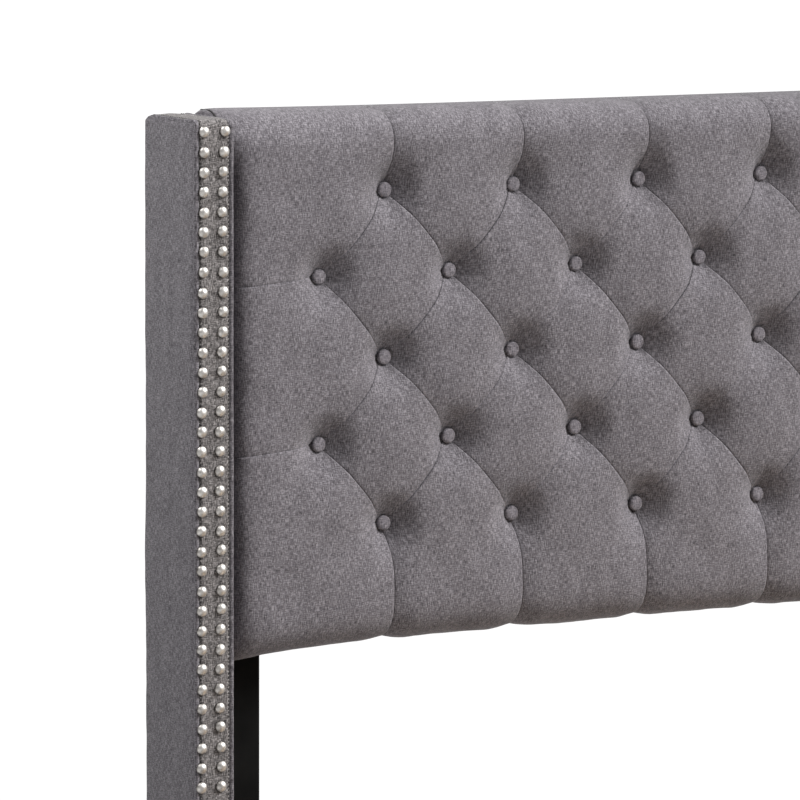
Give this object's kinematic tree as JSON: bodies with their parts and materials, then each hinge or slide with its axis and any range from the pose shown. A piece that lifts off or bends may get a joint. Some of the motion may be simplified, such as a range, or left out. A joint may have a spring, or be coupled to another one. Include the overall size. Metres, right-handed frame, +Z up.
{
  "type": "upholstered headboard bed",
  "caption": "Queen bed with a diamond-tufted winged headboard, domed-nail trim on the wings, padded side rails, low footboard and a slatted base.",
  "frame": {"origin": "on the floor, at the centre of the bed's bounding box", "axes": "+X to the right seen from the foot end, +Y towards the head end, +Z up"},
  "size_m": [1.646, 2.18, 1.205],
  "materials": {
    "heather_fabric": "matte",
    "band_fabric": "matte",
    "button_cloth": "matte",
    "backing_cloth": "matte",
    "pewter": "satin",
    "black_paint": "satin",
    "pine": "matte",
    "plywood": "matte",
    "zinc_steel": "satin",
    "black_plastic": "matte"
  },
  "bodies": {
    "root": {"button_row_1": "button_cloth", "button_row_2": "button_cloth", "button_row_3": "button_cloth", "button_row_4": "button_cloth", "button_row_5": "button_cloth", "centre_beam": "pine", "centre_leg_foot": "black_paint", "centre_leg_head": "black_paint", "dust_cover": "backing_cloth", "footboard_board": "pine", "footboard_cover": "heather_fabric", "left_foot": "black_paint", "left_leg": "black_paint", "left_leg_bolt_1": "zinc_steel", "left_leg_bolt_2": "zinc_steel", "left_nails_inner": "pewter", "left_nails_outer": "pewter", "left_rail_board": "pine", "left_rail_cover": "heather_fabric", "left_rail_foot_hook": "zinc_steel", "left_rail_head_hook": "zinc_steel", "left_slat_ledger": "pine", "left_wing_bolt_1": "zinc_steel", "left_wing_bolt_2": "zinc_steel", "left_wing_core": "pine", "left_wing_cover": "heather_fabric", "left_wing_front_band": "band_fabric", "left_wing_glide": "black_plastic", "panel_bottom_rail": "pine", "panel_left_stile": "pine", "panel_middle_rail": "pine", "panel_right_stile": "pine", "panel_top_rail": "pine", "right_foot": "black_paint", "right_leg": "black_paint", "right_leg_bolt_1": "zinc_steel", "right_leg_bolt_2": "zinc_steel", "right_nails_inner": "pewter", "right_nails_outer": "pewter", "right_rail_board": "pine", "right_rail_cover": "heather_fabric", "right_rail_foot_hook": "zinc_steel", "right_rail_head_hook": "zinc_steel", "right_slat_ledger": "pine", "right_wing_bolt_1": "zinc_steel", "right_wing_bolt_2": "zinc_steel", "right_wing_core": "pine", "right_wing_cover": "heather_fabric", "right_wing_front_band": "band_fabric", "right_wing_glide": "black_plastic", "slat_1": "pine", "slat_2": "pine", "slat_3": "pine", "slat_4": "pine", "slat_5": "pine", "slat_6": "pine", "slat_7": "pine", "slat_8": "pine", "tufted_cushion": "heather_fabric", "tufting_board": "plywood"}
  },
  "joints": []
}
